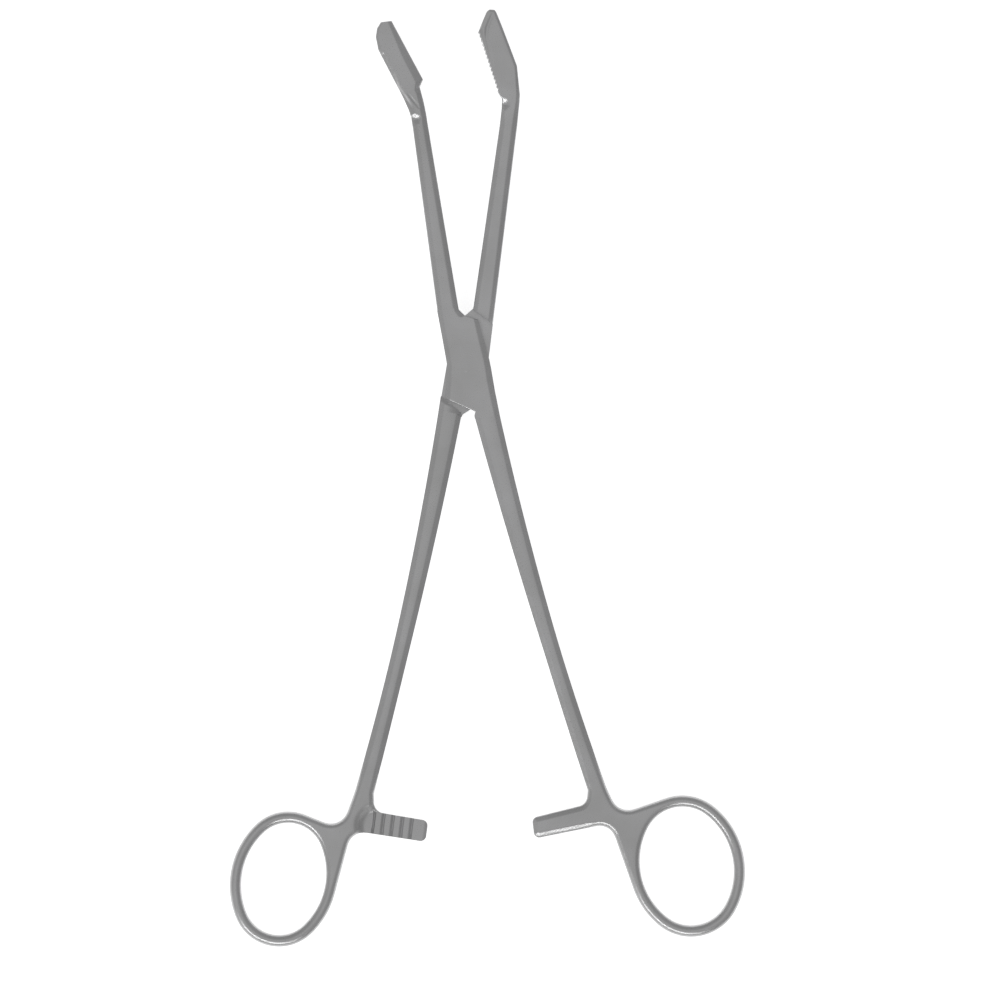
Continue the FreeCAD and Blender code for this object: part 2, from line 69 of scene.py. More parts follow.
def satin_steel(name, pit_size=0.22, grain_width=0.11, grain_length=9.0, cloud_size=14.0):
    """Martensitic stainless steel, belt-ground, then beaded with glass and tumbled.

    It is grey with a broad soft sheen, pitted by the beads, with the belt's lines just left along
    the instrument and slow clouds of tone.  Sizes are in millimetres; pits and lines are drawn
    some three times as coarse as real ones, which would not show.
    """
    material = bpy.data.materials.new(name)
    material.use_nodes = True
    tree = material.node_tree
    tree.nodes.clear()
    place = add_node(tree, "ShaderNodeTexCoord").outputs["Object"]
    stretched = add_node(tree, "ShaderNodeMapping", {
        "Vector": place, "Scale": (1, grain_width / grain_length, 1)})
    grain = add_node(tree, "ShaderNodeTexNoise", {
        "Vector": stretched.outputs["Vector"], "Scale": 1000 / grain_width, "Detail": 2.0})
    pits = add_node(tree, "ShaderNodeTexNoise", {
        "Vector": place, "Scale": 1000 / pit_size, "Detail": 3.0, "Roughness": 0.6})
    clouds = add_node(tree, "ShaderNodeTexNoise", {
        "Vector": place, "Scale": 1000 / cloud_size, "Detail": 4.0})
    tone = add_node(tree, "ShaderNodeMapRange", {
        "Value": clouds.outputs["Fac"], "From Min": 0.3, "From Max": 0.7,
        "To Min": 0.0, "To Max": 1.0})
    colour = add_node(tree, "ShaderNodeMix", {
        "Factor": tone.outputs["Result"], 6: linear("bebebe"), 7: linear("c9c9ca")},
        data_type="RGBA")
    gloss = add_node(tree, "ShaderNodeMapRange", {
        "Value": pits.outputs["Fac"], "From Min": 0.3, "From Max": 0.7,
        "To Min": 0.26, "To Max": 0.36})
    relief = add_node(tree, "ShaderNodeMath", {
        0: grain.outputs["Fac"], 1: pits.outputs["Fac"]}, operation="ADD")
    bump = add_node(tree, "ShaderNodeBump", {
        "Height": relief.outputs["Value"], "Strength": 0.22, "Distance": 0.00006})
    shader = add_node(tree, "ShaderNodeBsdfPrincipled", {
        "Base Color": colour.outputs[2], "Roughness": gloss.outputs["Result"],
        "Metallic": 1.0, "Normal": bump.outputs["Normal"]})
    add_node(tree, "ShaderNodeOutputMaterial", {"Surface": shader.outputs["BSDF"]})
    return material


steel = satin_steel("satin_stainless_steel")
middle = 3.5              # height of the middle plane above the table
box_turn = 7              # each half's turn from side by side, in degrees
male_turn = -7
neck_height = 69.0        # where jaw and shank meet, above the pin
neck_half = 2.3           # half thickness there
jaw_half = 2.5
jaw_length = 18.3         # of the gripping face
tooth_pitch = 1.25
tooth_depth = 0.36
corner_radius = 0.22
plain_bevel = (1.5, 0.9)  # width and drop of the shanks' bevel
jaw_samples = (33, 3, 18, 3, 4, 3, 12, 3)


def stations(knots, count, soften=0):
    """Rows of numbers along a piece: straight lines between the knots, whose first column is the
    place along it, then a running mean over soften rows each way that rounds their corners."""
    knots = np.array(knots, float)
    at = np.linspace(knots[0, 0], knots[-1, 0], count)
    rows = np.column_stack([np.interp(at, knots[:, 0], column) for column in knots.T])
    if soften:
        width = 2 * soften + 1
        padded = np.pad(rows, ((soften, soften), (0, 0)), mode="edge")
        padded[:soften] = 2 * rows[0] - rows[soften:0:-1]
        padded[-soften:] = 2 * rows[-1] - rows[-2:-soften - 2:-1]
        total = np.cumsum(np.vstack([np.zeros(rows.shape[1]), padded]), axis=0)
        rows = (total[width:] - total[:-width]) / width
    return rows


def section(width, half, bevels, radius, samples):
    """Closed eight-cornered section for every station, each corner rounded by a quadratic curve.

    width and half thickness are arrays over the stations.  bevels holds the width and drop of the
    bevel at top left, top right, bottom right and bottom left.  samples gives the points on the
    left side, left bevel, top, right bevel, right side, and so on round.
    """
    zero = 0 * width
    top_left, top_right, low_right, low_left = [[zero + v for v in pair] for pair in bevels]
    corners = np.array([
        (zero, low_left[1] - half), (zero, half - top_left[1]),
        (top_left[0], half), (width - top_right[0], half),
        (width, half - top_right[1]), (width, low_right[1] - half),
        (width - low_right[0], -half), (low_left[0], -half)]).transpose(2, 0, 1)
    side = np.roll(corners, -1, axis=1) - corners
    length = np.linalg.norm(side, axis=2, keepdims=True) + 1e-9
    ahead = side / length
    cut_off = np.minimum(radius, 0.46 * np.minimum(length, np.roll(length, 1, axis=1)))
    leave = corners + ahead * cut_off
    enter = corners - np.roll(ahead, 1, axis=1) * cut_off
    bend = np.linspace(0, 1, 4)[None, :, None]
    columns = []
    for index, count in enumerate(samples):
        a, b, c = (v[:, index:index + 1] for v in (enter, corners, leave))
        columns.append((1 - bend) ** 2 * a + 2 * bend * (1 - bend) * b + bend ** 2 * c)
        step = np.linspace(0, 1, count + 2)[None, 1:-1, None]
        following = enter[:, (index + 1) % 8][:, None]
        columns.append(c + step * (following - c))
    return np.concatenate(columns, axis=1)


def across(near, far, profile):
    """Points in space of the sections that stand between two plan edges: from the near edge
    straight towards the far one by a section's first number, at the height of its second."""
    run = far - near
    unit = run / np.linalg.norm(run, axis=1, keepdims=True)
    plan = near[:, None] + unit[:, None] * profile[:, :, :1]
    return np.concatenate([plan, middle + profile[:, :, 1:]], axis=2)


def solid(name, points, faces, body, turn):
    """Mesh object of points in millimetres, turned about the pin into its place."""
    sharp_angle = 40
    spin = math.radians(turn)
    x = points[:, 0] * math.cos(spin) - points[:, 1] * math.sin(spin)
    y = points[:, 0] * math.sin(spin) + points[:, 1] * math.cos(spin)
    mesh = bpy.data.meshes.new(name)
    mesh.from_pydata((np.column_stack([x, y, points[:, 2]]) / 1000).tolist(), [], faces)
    mesh.validate()
    mesh.shade_smooth()
    mesh.set_sharp_from_angle(angle=math.radians(sharp_angle))
    mesh.materials.append(steel)
    piece = bpy.data.objects.new(name, mesh)
    bpy.context.scene.collection.objects.link(piece)
    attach(piece, body)
    return piece


def skin(name, grids, body, turn):
    """Mesh of one or more grids of points, each closed round its second parameter and capped by a
    fan at both ends of its first one, with every face turned outwards."""
    points, faces = [], []
    offset = 0
    for grid in grids:
        rows, columns = grid.shape[:2]
        index = np.arange(rows * columns).reshape(rows, columns)
        above, below = index[:-1], index[1:]
        quads = np.stack([above, np.roll(above, -1, 1), np.roll(below, -1, 1), below], -1)
        quads = quads.reshape(-1, 4)
        vertices = np.vstack([grid.reshape(-1, 3), grid[0].mean(0), grid[-1].mean(0)])
        first = np.full(columns, rows * columns)
        caps = [np.stack([np.roll(index[0], -1), index[0], first], -1),
                np.stack([np.roll(index[-1], 1), index[-1], first + 1], -1)]
        triangles = np.vstack([quads[:, [0, 1, 2]], quads[:, [0, 2, 3]]] + caps)
        a, b, c = (vertices[triangles[:, k]] for k in range(3))
        inward = np.einsum("ij,ij->i", a, np.cross(b, c)).sum() < 0
        for group in [quads] + caps:
            faces += ((group[:, ::-1] if inward else group) + offset).tolist()
        points.append(vertices)
        offset += len(vertices)
    return solid(name, np.vstack(points), faces, body, turn)


def jaw_place(heel, lean, side):
    """Plan points at distances along a gripping face from its heel and depths behind it."""
    angle = math.radians(lean)
    along_face = np.array([-math.sin(angle), math.cos(angle)])
    behind = np.array([math.cos(angle), math.sin(angle)]) * side
    return lambda s, d: (np.array(heel) + np.multiply.outer(s, along_face)
                         + np.multiply.outer(d, behind))


def points_of(distance, height, border):
    """Depth, from 0 to 1, of crossing V grooves along a gripping face and across it.

    The deeper of two triangle waves of the distance and of the height, with narrow lands between
    them, faded out over the last stretch before the border.
    """
    groove_share = 0.84
    fade = 0.25

    def groove(at):
        return np.clip(1 - 2 * np.abs((at / tooth_pitch) % 1 - 0.5) / groove_share, 0, 1)

    within = (np.clip((border[0] - np.abs(distance)) / fade, 0, 1)
              * np.clip((border[1] - np.abs(height)) / fade, 0, 1))
    return np.maximum(groove(distance), groove(height)) * within


def follow(plan, line):
    """Distance in plan from an open line of corners, and the nearest place's count along it.

    Each point is dropped square onto every side of the line, and the least distance holds.
    """
    line = np.array(line, float)
    nearest = np.full(plan.shape[:-1], np.inf)
    share = np.zeros(plan.shape[:-1])
    for index, (start, end) in enumerate(zip(line, line[1:])):
        run = end - start
        at = np.clip(((plan - start) @ run) / (run @ run), 0, 1)
        away = np.linalg.norm(plan - start - at[..., None] * run, axis=-1)
        share = np.where(away < nearest, index + at, share)
        nearest = np.minimum(away, nearest)
    return nearest, share


def valley(plan, line, depths, reaches):
    """Sink of a soft valley whose bottom follows a plan line from one depth and reach to another.

    Across the line it falls away as a squared cosine of the distance over the reach.
    """
    away, share = follow(plan, line)
    corners = np.arange(len(line))
    reach = np.interp(share, corners, reaches)
    depth = np.interp(share, corners, depths)
    return depth * np.cos(np.clip(away / reach, 0, 1) * math.pi / 2) ** 2


def jaw(name, body, turn, place, edges, bevels, thickness, border, row_shift, valleys):
    """Strip of sections from the neck to the tip, with its points milled and its flats sunk.

    edges has rows of station, near x and y on the gripping side and far x and y on the back;
    bevels has rows of station, then width and drop of the four bevels.  border is how far the
    points reach from the middle of the face along it and across it, and row_shift moves their
    rows.  valleys thin the jaw from both sides by the deepest of its hollows at each place.
    """
    count = 460
    near_face = 0.4       # the milled depth fades out over this behind the face
    plan = stations(edges, count, 1)
    cut = stations(bevels, count, 2)
    half = stations(thickness, count, 3)[:, 1]
    near, far = plan[:, 1:3], plan[:, 3:5]
    width = np.linalg.norm(far - near, axis=1)
    pairs = [(cut[:, 2 * k + 1], cut[:, 2 * k + 2]) for k in range(4)]
    profile = section(width, half, pairs, corner_radius, jaw_samples)
    grid = across(near, far, profile)
    along_face = place(1.0, 0.0) - place(0.0, 0.0)
    distance = (grid[..., :2] - place(jaw_length / 2, 0.0)) @ along_face
    on_face = np.clip(1.3 - profile[..., 0] / near_face, 0, 1)
    sink = tooth_depth * points_of(distance, profile[..., 1] + row_shift, border) * on_face
    inward = (far - near) / width[:, None]
    grid[..., :2] += sink[..., None] * inward[:, None]
    sunk = np.max([valley(grid[..., :2], *hollow) for hollow in valleys], axis=0)
    grid[..., 2] -= (grid[..., 2] - middle) * sunk / half[:, None]
    return skin(name, [grid], body, turn)


box_at = jaw_place((-2.5, 82.0), 21.2, -1)
box_edges = [(0, -2.7, neck_height, -7.1, neck_height),
             (3.2, -2.8, 72.4, -7.15, 71.6),
             (6.6, -3.1, 76.0, -7.7, 74.2),
             (10.2, *box_at(-1.4, 1.8), -8.55, 77.0),
             (12.3, *box_at(0.0, 0.0), *box_at(0.2, 7.4)),
             (26.0, *box_at(13.0, 0.0), *box_at(13.4, 7.25)),
             (29.0, *box_at(16.3, 0.0), *box_at(16.9, 6.2)),
             (30.6, *box_at(18.0, 0.0), *box_at(18.9, 4.7)),
             (31.3, *box_at(18.75, 0.0), *box_at(19.9, 3.0))]
box_bevels = [(0, *plain_bevel * 4),
              (9, 1.5, 1.1, 1.35, 0.74, 1.3, 0.8, 0.9, 0.9),
              (12, 2.3, 1.3, 1.4, 0.76, 1.1, 0.6, 0.6, 0.6),
              (22, 2.1, 1.2, 1.2, 0.62, 1.0, 0.55, 0.6, 0.6),
              (31.3, 1.1, 0.7, 0.7, 0.4, 0.7, 0.4, 0.6, 0.6)]
# Hollows ground into the flats: the line of each one's bottom, its depths and its reaches.
flute = ([(-12.6, 90.2), (-11.0, 84.5), (-10.1, 80.5), (-7.8, 76.0), (-6.2, 73.4)],
         [0.1, 0.35, 0.6, 0.6, 0.15], [0.9, 1.2, 1.3, 1.3, 1.0])
box_crease = ([(-8.6, 81.5), (-7.7, 79.2), (-6.0, 76.4), (-4.6, 74.2)],
              [0.0, 0.2, 0.25, 0.15], [0.6, 0.7, 0.7, 0.6])
box_hollow = ([(-5.8, 70.9), (-5.6, 69.5)], [0.72, 0.1], [2.0, 1.2])
box_jaw = jaw("box_jaw", "box_side", box_turn, box_at, box_edges, box_bevels,
              [(0, neck_half), (10, jaw_half), (31.3, jaw_half)],
              (jaw_length / 2 - 0.4, 1.35), 0.35, [flute, box_crease, box_hollow])
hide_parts("box_half")

# Male jaw, the upper end of the tongue half: the same forging and grinding, with its points over
# the whole height of the gripping face, a dished flat, and a long oblique tip with a bevel that
# a crease parts from the flat.  A hollow is ground where it meets its neck.
male_at = jaw_place((-0.7, 77.8), 25.3, 1)
male_edges = [(0, 0.9, neck_height, 5.9, neck_height),
              (4.5, 0.85, 73.6, 5.8, 73.4),
              (7.4, 0.6, 76.3, 5.75, 76.0),
              (9.0, *male_at(0.0, 0.0), 5.6, 78.0),
              (15.0, *male_at(6.0, 0.0), *male_at(5.5, 7.55)),
              (24.0, *male_at(15.0, 0.0), *male_at(17.5, 7.05)),
              (26.4, *male_at(17.4, 0.0), *male_at(21.8, 6.75)),
              (27.0, *male_at(18.0, 0.0), *male_at(22.6, 6.5)),
              (27.6, *male_at(19.5, 1.2), *male_at(23.2, 5.2)),
              (27.9, *male_at(20.8, 2.4), *male_at(23.0, 4.4))]
male_bevels = [(0, *plain_bevel * 4),
               (8, 0.3, 0.3, 1.0, 0.8, 1.0, 0.8, 0.3, 0.3),
               (14, 0.3, 0.25, 0.8, 0.4, 0.8, 0.6, 0.2, 0.2),
               (22, 1.1, 0.45, 0.8, 0.4, 0.8, 0.6, 0.2, 0.2),
               (27, 1.9, 0.8, 0.8, 0.45, 0.8, 0.6, 0.2, 0.2),
               (27.9, 0.6, 0.6, 0.5, 0.5, 0.5, 0.5, 0.2, 0.2)]
dish = ([male_at(3.0, 3.9), male_at(13.0, 4.2)], [0.16, 0.12], [3.4, 3.2])
male_crease = ([(-4.9, 99.8), (-6.0, 95.7), (-5.9, 92.9), (-4.3, 88.5), (-2.6, 84.2)],
               [0.12, 0.25, 0.24, 0.18, 0.0], [0.7, 0.8, 0.8, 0.8, 0.7])
male_hollow = ([(1.2, 74.6), (1.1, 73.0)], [0.9, 0.15], [2.5, 1.6])
past_faces = 9.0          # a border beyond the face's edges, so that its rows reach them
male_jaw = jaw("male_jaw", "tongue_side", male_turn, male_at, male_edges, male_bevels,
               [(0, neck_half), (9, jaw_half), (27.9, jaw_half)],
               (jaw_length / 2, past_faces), 0.0, [dish, male_crease, male_hollow])
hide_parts("tongue_half")

# Upper shanks: eight-sided bars drawn out under the hammer and belt-ground, with a flat front and
# back and a bevel along each side.  They thin and narrow from the lock up to the jaws.
lock_half = 3.5           # half thickness at the lock, the thickest place
shank_overlap = 0.5       # how far the ends stand inside the jaws
shank_corner = 0.3
shank_samples = (3, 3, 6, 3, 3, 3, 6, 3)


def tapered(share, start, end):
    """Straight change from start to end as the share goes from 0 to 1."""
    return start + share * (end - start)


def upper_shank(name, body, turn, near, far, corners):
    """Strip from the neck down to the lock.

    near and far are the plan edges at the neck, corners those at the lock's end, which may lie
    askew; the thickness grows with the root of the distance from the neck.
    """
    share = np.linspace(0, 1, 120)[:, None]
    top = neck_height + shank_overlap
    ends = [tapered(share, np.array((x, top)), np.array(corner))
            for x, corner in zip((near, far), corners)]
    half = tapered(np.sqrt(1 - share[:, 0]), lock_half, neck_half)
    width = np.linalg.norm(ends[1] - ends[0], axis=1)
    bevel = (np.minimum(plain_bevel[0], 0.36 * width), plain_bevel[1])
    profile = section(width, half, [bevel] * 4, shank_corner, shank_samples)
    return skin(name, [across(*ends, profile)], body, turn)


upper_shank("box_upper_shank", "box_side", box_turn, -2.7, -7.1, ((-0.4, 15.9), (-6.5, 15.9)))
upper_shank("male_upper_shank", "tongue_side", male_turn, 0.9, 5.9, ((-0.2, 15.9), (5.9, 12.4)))

# Box of the lock: the two cheeks of the female half, opened hot to let the male half through and
# pressed shut over its tongue, then ground flat together.  Each has a bevel along both sides and
# ends square, with a worn edge, where it crosses the male half.
plate_thickness = 2.25
ground_off = 0.012        # the cheeks lie this far below the lock's full height
cheek_edges = [(0, -6.5, 16.4, -0.4, 16.4), (0.5, -6.5, 15.9, -0.4, 15.9),
               (2.2, -6.4, 14.4, 1.0, 14.1), (6.0, -6.1, 9.6, 4.8, 12.35),
               (6.6, -6.05, 9.0, 5.0, 11.5), (18.0, -5.6, 0.6, 6.5, 0.6),
               (22.0, -6.2, -3.4, 6.7, -2.0), (27.4, -7.2, -8.6, 7.0, -8.4),
               (36.0, 0.75, -13.4, 7.4, -13.6), (37.2, 0.35, -14.6, 7.45, -14.6),
               (37.8, 0.4, -15.4, 7.5, -15.4)]
left_side = [(-6.5, 17), (-6.4, 14.4), (-5.6, 0.6), (-6.2, -3.4), (-7.2, -8.6), (-8.2, -13.6)]
right_side = [(4.45, 14.5), (4.8, 12.35), (6.5, 0.6), (6.7, -2.0), (7.0, -8.4), (7.45, -14.6),
              (7.7, -19)]
notch_side = [(-0.35, 17), (-0.35, 15.9), (0.2, 14.9)]
upper_end = [(-0.3, 15.7), (1.0, 14.1), (4.8, 12.35)]
lower_end = [(-7.2, -8.6), (0.75, -13.4), (0.35, -14.6)]
left_bevel_width = 1.4
notch_bevel_width = 1.3
right_bevel_width = ([-15, -11, -5, 6, 12.4], [1.5, 1.6, 1.75, 1.5, 1.25])
bevel_slope = 0.6
worn_depth = 0.12         # of the edges at the square ends
worn_width = 0.45
thinnest = 0.2            # what the cheek keeps under its bevels at least
cheek_stations = 415      # which keeps both cheeks together under 200,000 triangles


def knee(slope):
    """The slope where it is above nought and nought below it, as one branch of a hyperbola."""
    roundness = 0.002
    return (slope + np.sqrt(slope ** 2 + roundness)) / 2


def cheek(up):
    """One cheek of the box, from the upper shank to the lower one; up is 1 for the front.

    A sheet ruled between its two edges.  It drops towards each long side by the bevel's slope
    times the distance that is left to the bevel's inner edge, and by a square at the worn ends.
    """
    edges = stations(cheek_edges, cheek_stations, 1)
    near, far = edges[:, 1:3], edges[:, 3:5]
    spread = (1 - np.cos(np.linspace(0, math.pi, 60))) / 2
    plan = near[:, None] + spread[:, None] * (far - near)[:, None]
    right_width = np.interp(plan[..., 1], *right_bevel_width)
    sink = 0
    for side, width in ((left_side, left_bevel_width), (right_side, right_width),
                        (notch_side, notch_bevel_width)):
        sink = np.maximum(sink, bevel_slope * width * knee(1 - follow(plan, side)[0] / width))
    ends = np.minimum(follow(plan, upper_end)[0], follow(plan, lower_end)[0])
    sink = sink + worn_depth * np.clip(1 - ends / worn_width, 0, 1) ** 2
    outer = lock_half - ground_off - sink
    inner = np.full_like(outer, lock_half - plate_thickness)
    loop = np.concatenate([plan, plan[:, ::-1]], axis=1)
    height = np.concatenate([np.maximum(outer, inner + thinnest), inner[:, ::-1]], axis=1)
    return np.concatenate([loop, middle + up * height[..., None]], axis=2)


skin("box_cheeks", [cheek(1), cheek(-1)], "box_side", box_turn)

# Pin of the lock: a turned steel pin pressed through both cheeks, on which the tongue turns.  Its
# ends are ground off with the cheeks and can hardly be seen.
pin_radius = 1.9
pin_sunk = 0.008          # how far its ends lie below the lock's full height
pin_edge = 0.02


def turned_pin():
    """Circle carried up the axis, its end edges rounded by a quarter circle."""
    bend = np.linspace(0, math.pi / 2, 7)[:, None]
    barrel = pin_radius - pin_edge
    low = pin_sunk + pin_edge
    high = 2 * lock_half - pin_sunk - pin_edge
    rows = np.vstack([
        np.column_stack([barrel + pin_edge * np.sin(bend), low - pin_edge * np.cos(bend)]),
        np.column_stack([barrel + pin_edge * np.cos(bend), high + pin_edge * np.sin(bend)])])
    around = np.linspace(0, 2 * math.pi, 72, endpoint=False)
    return np.stack([rows[:, :1] * np.cos(around), rows[:, :1] * np.sin(around),
                     np.repeat(rows[:, 1:], len(around), axis=1)], axis=-1)


pin = skin("pin", [turned_pin()], "box_side", 0)
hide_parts("lock_pin")

# Tongue: the thin middle of the male half, filed to slide between the cheeks.  It slants through
# the box from one shoulder to the other, and its two outer corners close the crotches of the lock.
tongue_gap = 0.04         # between tongue and cheek
tongue_bevel = 0.1
tongue_edges = [(0, -0.2, 18.0, 5.9, 16.0), (1, -0.1, 16.3, 5.9, 14.2),
                (2.6, -2.4, 13.7, 5.9, 11.2), (14, -5.7, 0.2, 5.9, 0.25),
                (22, -6.0, -6.5, 2.4, -12.5), (23.4, -6.1, -8.3, 0.5, -14.1),
                (26, -6.2, -11.5, 0.2, -15.0)]


def tongue():
    """Strip of thin sections between the tongue's two edges."""
    edges = stations(tongue_edges, 90)
    near, far = edges[:, 1:3], edges[:, 3:5]
    width = np.linalg.norm(far - near, axis=1)
    half = 0 * width + lock_half - plate_thickness - tongue_gap
    bevel = (tongue_bevel, tongue_bevel)
    return across(near, far, section(width, half, [bevel] * 4, tongue_bevel, shank_samples))


skin("tongue", [tongue()], "tongue_side", male_turn)

# Lower shanks, ratchet bars and finger rings: below the lock each half is one forging.  The shank
# bows outwards and is belt-ground with a bevel along each side; the bar's ratchet teeth are
# milled across it; bar, ring and web run together in fillets polished smooth for the hand.
lower_start = 14.6        # the shank's upper end, below the pin
waist_reach = 86.0        # its slimmest place
foot_reach = 124.0        # its foot
waist_width = 4.7
foot_spread = 0.7         # what the shank widens by again at its foot
bow_radius = 1180.0
foot_half = 2.5           # half thickness
web_thinner = 0.1         # what web and ring are thinner by on each side
ring_band = 3.2
ring_tilt = 5.0           # lean of its longer axis, in degrees
ring_end = 0.42           # radius of its ends, as a share of its width
bar_top = -129.8
bar_low = -135.8
bar_land = 0.4            # height of the teeth's lands above the middle plane
groove_floor = -0.1
bar_pitch = 2.7
groove_count = 5
first_tooth = 2.5         # from the bar's tip
# Along the bar and above the middle plane: a land and its groove as shares of the pitch, and the
# sloped tip in front of them.
tooth_form = ([0, 0.58, 0.68, 0.74, 1],
              [bar_land, bar_land, groove_floor, groove_floor, bar_land])
tip_form = ([-first_tooth, -1.6, 0], [0.1, bar_land, bar_land])
run_out_radii = (3.4, 6.6)     # where the cutter's round run-out starts and ends
root_radius = 3.0
tip_radius = 1.62
flare_radius = 4.5
crook_radius = 5.0
ground_width = 1.5
shoulder_drop = 0.75      # of the male shank's step under the cheeks
shoulder_width = 1.1
# Depths inwards of the rows of points that follow an edge.
edge_steps = np.array([0, 0.04, 0.12, 0.25, 0.42, 0.62, 0.85, 1.08, 1.28, 1.42, 1.56])
edge_width = edge_steps[-1]


def lower_centre(reach, root, lean):
    """Distance from the axis of a bowed shank: its lean, plus a parabola for the bow."""
    run = reach - lower_start
    return root + run * math.tan(math.radians(lean)) + run ** 2 / (2 * bow_radius)


def lower_width(reach, root_width):
    """Narrows to the waist as a power of the distance, and widens again to the foot."""
    above = np.clip((waist_reach - reach) / (waist_reach - lower_start), 0, None)
    below = np.clip((reach - waist_reach) / (foot_reach - waist_reach), 0, None)
    return waist_width + (root_width - waist_width) * above ** 1.4 + foot_spread * below ** 2


def oval(x, y, width, height):
    """Points and outward normals round an oval of four tangent arcs that leans to the axis.

    Each arc is its centre plus its radius times the direction, so equal turns of direction step
    round all four in proportion.
    """
    a, b, end = width / 2, height / 2, ring_end * width
    side = (a ** 2 + (b - end) ** 2 - end ** 2) / (2 * (a - end))
    lean = math.atan2(b - end, side - a)
    turn = np.linspace(-math.pi, math.pi, 720)
    normal = np.column_stack([np.cos(turn), np.sin(turn)])
    on_side = np.abs(np.cos(turn)) > math.cos(lean)
    radius = np.where(on_side, side, end)
    centre = np.column_stack([np.where(on_side, np.sign(normal[:, 0]) * (a - side), 0),
                              np.where(on_side, 0, np.sign(normal[:, 1]) * (b - end))])
    points = centre + radius[:, None] * normal
    spin = math.radians(ring_tilt)
    matrix = np.array([[math.cos(spin), math.sin(spin)], [-math.sin(spin), math.cos(spin)]])
    return points @ matrix + (x, y), normal @ matrix


def rounded(corners, radii):
    """Path through plan corners, each inner one rounded by an arc tangent to both its sides."""
    corners = np.array(corners, float)
    path = [corners[:1]]
    for before, corner, after, radius in zip(corners, corners[1:], corners[2:], radii):
        back = (before - corner) / np.linalg.norm(before - corner)
        ahead = (after - corner) / np.linalg.norm(after - corner)
        half_angle = math.acos(np.clip(back @ ahead, -1, 1)) / 2
        span = math.pi - 2 * half_angle
        reach = radius / math.tan(half_angle)
        outwards = (back + ahead) / np.linalg.norm(back + ahead)
        centre = corner + outwards * radius / math.sin(half_angle)
        first, last = corner + back * reach - centre, corner + ahead * reach - centre
        bend = np.linspace(0, 1, 24)[:, None]
        arc = np.sin((1 - bend) * span) * first + np.sin(bend * span) * last
        path.append(centre + arc / math.sin(span))
    return np.vstack(path + [corners[-1:]])


def along(path, spacing):
    """Points set along a path so that neighbours stand about spacing apart, a value per point."""
    steps = np.linalg.norm(np.diff(path, axis=0), axis=1) / ((spacing[1:] + spacing[:-1]) / 2)
    travelled = np.concatenate([[0], np.cumsum(steps)])
    at = np.linspace(0, travelled[-1], int(travelled[-1]) + 1)
    return np.column_stack([np.interp(at, travelled, column) for column in path.T])


def eased(path, count, wanted):
    """Running mean over count neighbours, where wanted, that takes the kinks out of a path."""
    kernel = np.hanning(2 * count + 3)[1:-1]
    kernel /= kernel.sum()
    smooth = np.column_stack([np.convolve(column, kernel, "same") for column in path.T])
    keep = np.ones(len(path), bool)
    keep[count:-count] = ~wanted[count:-count]
    return np.where(keep[:, None], path, smooth)


def tangent_point(points, corner, wanted, turn):
    """Index of the wanted point that lies furthest round a corner, clockwise where turn is 1 and
    the other way where it is -1, which is where a line from the corner touches their curve."""
    direction = turn * np.arctan2(*(points - corner).T[::-1])
    return np.where(wanted, direction, np.inf).argmin()


def outline(shank, ring, bar, cut_line):
    """Plan of a handle, drawn to the right of the axis, as a path of closely set points.

    Down the shank's inner edge, out and back along the bar, by a flare into the ring's outer edge,
    round that, by a crook into the shank's outer edge, and up to the lock.  Returned with the
    ring's opening, its normals, the bar's root and the direction down the shank's upper end.
    """
    root, lean, root_width = shank
    ring_x, ring_y, ring_width, ring_height, flare_run = ring
    tip, rise = bar
    reach = np.linspace(foot_reach, lower_start, 260)
    centre = lower_centre(reach, root, lean)
    width = lower_width(reach, root_width)
    left = np.vstack([np.column_stack([centre - width / 2, -reach]), cut_line[:1]])
    right = np.vstack([np.column_stack([centre + width / 2, -reach]), cut_line[1:]])
    bar_root = left[0, 0] - 0.8
    hole, outward = oval(ring_x, ring_y, ring_width, ring_height)
    outer = hole + ring_band * outward
    crook_out, crook_below = 2.5, 3.3
    crook = np.array([right[0, 0] + crook_out,
                      ring_y + ring_height / 2 + ring_band - crook_below])
    flare = np.array([ring_x - ring_width / 2 - ring_band - flare_run, bar_low + 0.9 * rise])
    start = tangent_point(outer, flare, outer[:, 0] < ring_x, 1)
    stop = tangent_point(outer, crook, outer[:, 0] < ring_x + 1, -1)
    low = rounded([left[0], (bar_root, bar_top + rise), (tip, bar_top), (tip, bar_low), flare,
                   outer[start]], (root_radius, tip_radius, tip_radius, flare_radius))
    high = rounded([outer[stop], crook, right[0]], (crook_radius,))
    path = np.vstack([left[::-1], low[1:-1], outer[start:stop + 1], high[1:-1], right])
    x, y = path.T
    # Points stand closest at the bar and the cut end, where the surface changes fastest.
    near_lock = np.where(y > -17, 0.12, 0.6)
    spacing = np.where((x < bar_root + 1) & (y < -127), 0.1, np.where(y > -118, near_lock, 0.25))
    path = along(path, spacing)
    path = eased(path, 7, (path[:, 1] < -121) & (path[:, 0] > bar_root + 1))
    downhill = np.array([centre[-12] - centre[-1], reach[-1] - reach[-12]])
    return path, hole, outward, bar_root, downhill


def inwards(path, on_straight):
    """Unit normals that point into the outline, square to it where the bar is straight, and at
    the two ends as long as it takes to step along the cut."""
    tangent = np.gradient(path, axis=0)
    tangent /= np.linalg.norm(tangent, axis=1, keepdims=True)
    inward = np.column_stack([-tangent[:, 1], tangent[:, 0]])
    straight = on_straight & (np.abs(inward[:, 1]) > 0.9)
    inward[straight] = np.column_stack([0 * inward[straight, 0], np.sign(inward[straight, 1])])
    cut = (path[-1] - path[0]) / np.linalg.norm(path[-1] - path[0])
    for end in (0, -1):
        inward[end] = cut / (cut @ inward[end])
    return inward, np.array([-cut[1], cut[0]])


